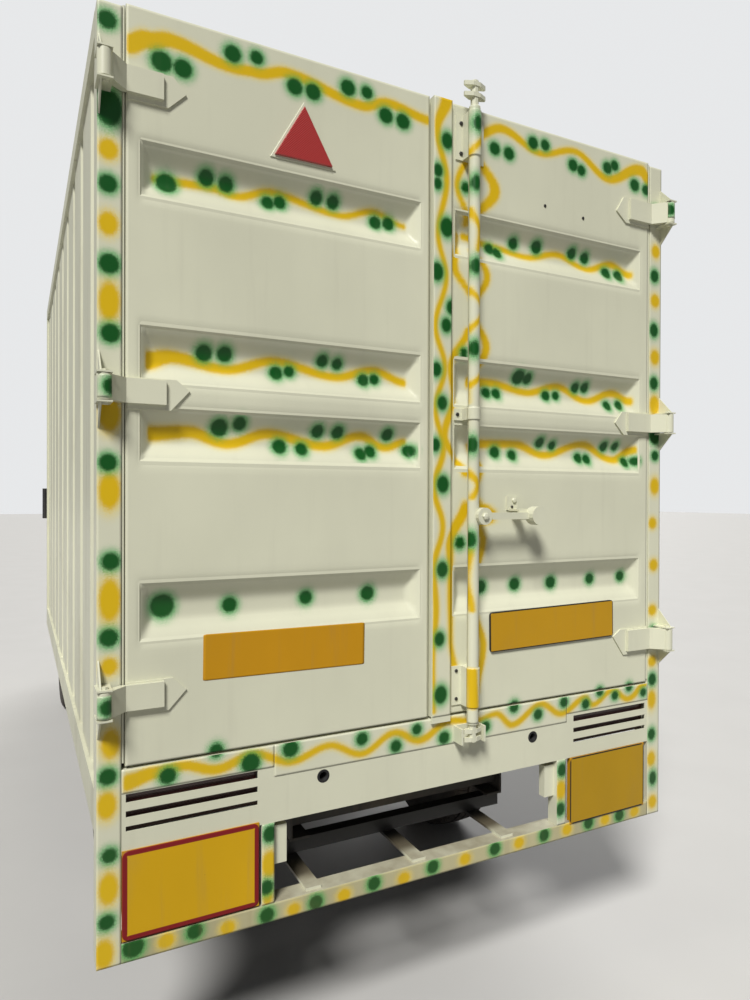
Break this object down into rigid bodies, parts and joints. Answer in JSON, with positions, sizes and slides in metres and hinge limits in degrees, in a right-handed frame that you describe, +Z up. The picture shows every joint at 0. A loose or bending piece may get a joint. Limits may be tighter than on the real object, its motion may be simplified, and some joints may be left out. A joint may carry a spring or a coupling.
{
  "type": "decorated box-body truck",
  "caption": "Light box-body truck with ribbed rear doors, a lock rod, sprayed wave and dot borders and a hollow cab with opening doors.",
  "frame": {"origin": "ground under the middle of the truck's overall box", "axes": "+Y forward, +Z up, +X to the truck's right"},
  "size_m": [1.84, 4.94, 2.73],
  "materials": {
    "body_paint": "semi-gloss cream enamel",
    "cab_paint": "gloss cream enamel",
    "chassis_paint": "dusty black chassis paint",
    "deck_steel": "worn grey deck paint",
    "lamp_red": "red lens",
    "lamp_clear": "clear lens",
    "board_yellow": "brush-painted yellow",
    "rod_paint": "cream enamel, worn on edges",
    "guard_plastic": "dusty black",
    "spring_steel": "oiled and dusty",
    "axle_iron": "dusty black",
    "shaft_steel": "dull",
    "engine_iron": "grey paint, oily",
    "tank_paint": "black",
    "silencer_steel": "heat-stained and rusty",
    "glass": "clear",
    "mirror_housing": "black",
    "grille_plastic": "black",
    "bumper_paint": "cream enamel",
    "dash_plastic": "grained dark grey",
    "wheel_rubber": "steering wheel, black",
    "seat_cover": "brown leathercloth",
    "tyre": "dusty tyre rubber",
    "rim_paint": "silver paint, dusty"
  },
  "bodies": {
    "truck": {"rear_portal": "body_paint", "rear_apron": "body_paint", "hinge_brackets": "rod_paint", "underrun_frame": "body_paint", "tail_lamps": "lamp_red", "rear_boards": "board_yellow", "cargo_floor": "deck_steel", "wall_left": "body_paint", "wall_right": "body_paint", "wall_front": "body_paint", "cargo_roof": "body_paint", "chassis_frame": "chassis_paint", "mudguards": "guard_plastic", "leaf_springs": "spring_steel", "rear_axle": "axle_iron", "front_axle": "axle_iron", "propshaft": "shaft_steel", "engine": "engine_iron", "fuel_tank": "tank_paint", "battery_box": "tank_paint", "silencer": "silencer_steel", "cab_shell": "cab_paint", "cab_glass": "glass", "grille": "grille_plastic", "headlamps": "lamp_clear", "front_bumper": "bumper_paint", "dashboard": "dash_plastic", "seats": "seat_cover"},
    "cargo_door_left": {"cargo_door_left": "body_paint"},
    "cargo_door_right": {"cargo_door_right": "body_paint", "lock_rod": "rod_paint"},
    "cab_door_left": {"cab_door_left": "cab_paint", "door_glass_left": "glass", "mirror_left": "mirror_housing"},
    "cab_door_right": {"cab_door_right": "cab_paint", "door_glass_right": "glass", "mirror_right": "mirror_housing"},
    "knuckle_left": {"knuckle_left": "axle_iron"},
    "knuckle_right": {"knuckle_right": "axle_iron"},
    "tie_rod": {"tie_rod": "shaft_steel"},
    "wheel_front_left": {"tyre_front_left": "tyre", "rim_front_left": "rim_paint"},
    "wheel_front_right": {"tyre_front_right": "tyre", "rim_front_right": "rim_paint"},
    "wheel_rear_left": {"tyre_rear_left": "tyre", "rim_rear_left": "rim_paint"},
    "wheel_rear_right": {"tyre_rear_right": "tyre", "rim_rear_right": "rim_paint"},
    "steering_wheel": {"steering_wheel": "wheel_rubber"}
  },
  "joints": [
    {"name": "cargo_door_right_hinge", "type": "hinge", "parent": "truck", "child": "cargo_door_right", "pos_m": [0.903, -2.43, 1.8], "axis": [0, 0, 1], "range_deg": [0, 260]},
    {"name": "cargo_door_left_hinge", "type": "hinge", "parent": "truck", "child": "cargo_door_left", "pos_m": [-0.903, -2.43, 1.8], "axis": [0, 0, -1], "range_deg": [0, 260]},
    {"name": "cab_door_right_hinge", "type": "hinge", "parent": "truck", "child": "cab_door_right", "pos_m": [0.812, 1.986, 1.3], "axis": [0, 0, 1], "range_deg": [0, 65]},
    {"name": "cab_door_left_hinge", "type": "hinge", "parent": "truck", "child": "cab_door_left", "pos_m": [-0.812, 1.986, 1.3], "axis": [0, 0, -1], "range_deg": [0, 65]},
    {"name": "steer_left", "type": "hinge", "parent": "truck", "child": "knuckle_left", "pos_m": [-0.615, 1.435, 0.35], "axis": [0, 0, 1], "range_deg": [-33, 33]},
    {"name": "steer_right", "type": "hinge", "parent": "truck", "child": "knuckle_right", "pos_m": [0.615, 1.435, 0.35], "axis": [0, 0, 1], "range_deg": [-33, 33]},
    {"name": "tie_rod_slide", "type": "slide", "parent": "truck", "child": "tie_rod", "axis": [1, 0, 0], "range_m": [-0.09, 0.09]},
    {"name": "steering_wheel_turn", "type": "hinge", "parent": "truck", "child": "steering_wheel", "pos_m": [0.38, 1.725, 1.375], "axis": [0, -0.5371, 0.8435], "range_deg": [-530, 530]},
    {"name": "front_left_spin", "type": "hinge", "parent": "knuckle_left", "child": "wheel_front_left", "pos_m": [-0.7, 1.435, 0.35], "axis": [1, 0, 0], "continuous": true},
    {"name": "front_right_spin", "type": "hinge", "parent": "knuckle_right", "child": "wheel_front_right", "pos_m": [0.7, 1.435, 0.35], "axis": [1, 0, 0], "continuous": true},
    {"name": "rear_left_spin", "type": "hinge", "parent": "truck", "child": "wheel_rear_left", "pos_m": [-0.7, -1.265, 0.35], "axis": [1, 0, 0], "continuous": true},
    {"name": "rear_right_spin", "type": "hinge", "parent": "truck", "child": "wheel_rear_right", "pos_m": [0.7, -1.265, 0.35], "axis": [1, 0, 0], "continuous": true}
  ],
  "couplings": [
    {"joint": "steer_right", "follows": "steer_left", "ratio": 1},
    {"joint": "tie_rod_slide", "follows": "steer_left", "m_per_rad": 0.15},
    {"joint": "steering_wheel_turn", "follows": "steer_left", "ratio": 16}
  ]
}
